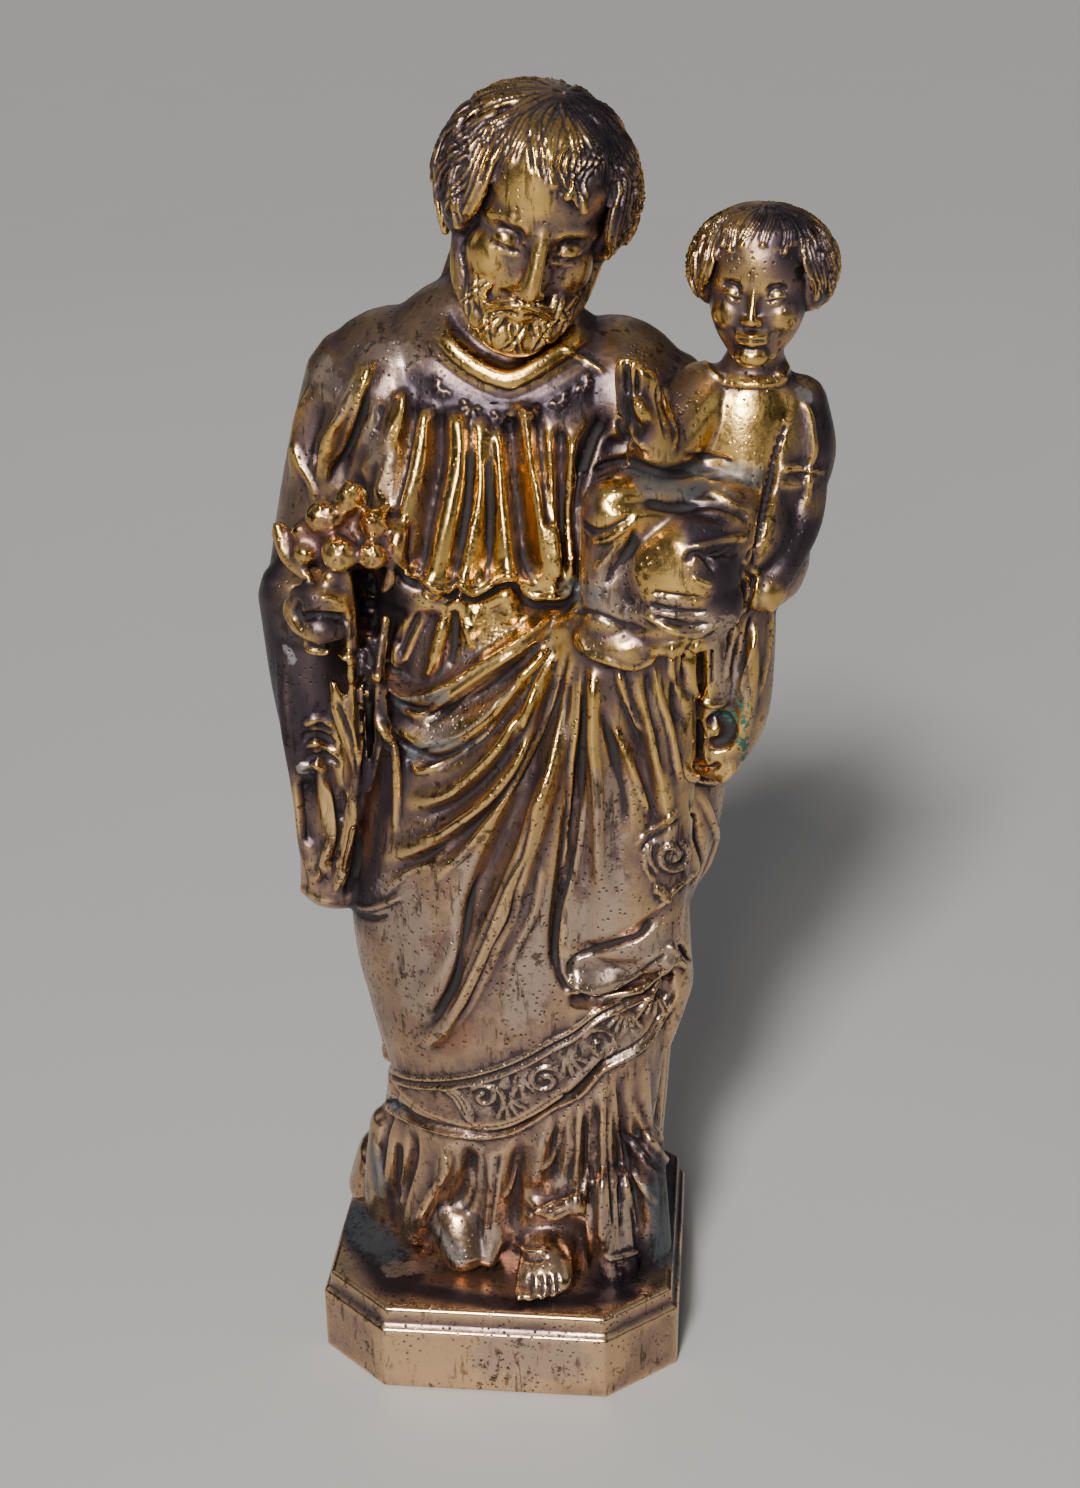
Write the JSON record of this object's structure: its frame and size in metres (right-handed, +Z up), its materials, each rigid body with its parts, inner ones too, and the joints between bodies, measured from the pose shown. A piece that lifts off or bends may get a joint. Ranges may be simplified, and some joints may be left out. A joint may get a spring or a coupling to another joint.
{
  "type": "saint joseph statue",
  "caption": "Small gilt cast statuette of a bearded robed figure with a lily, carrying a child, on a moulded plinth with cut corners.",
  "frame": {"origin": "middle of the plinth's underside, where the statue stands", "axes": "+Z up, -Y out of the figure's front, +X to the viewer's right, where the child sits"},
  "size_m": [0.0693, 0.047, 0.166],
  "materials": {
    "statue": "worn brass gilding over cast metal, bright on the ridges, violet-brown and grey tarnish in the hollows"
  },
  "bodies": {
    "root": {"statue": "statue"}
  },
  "joints": []
}
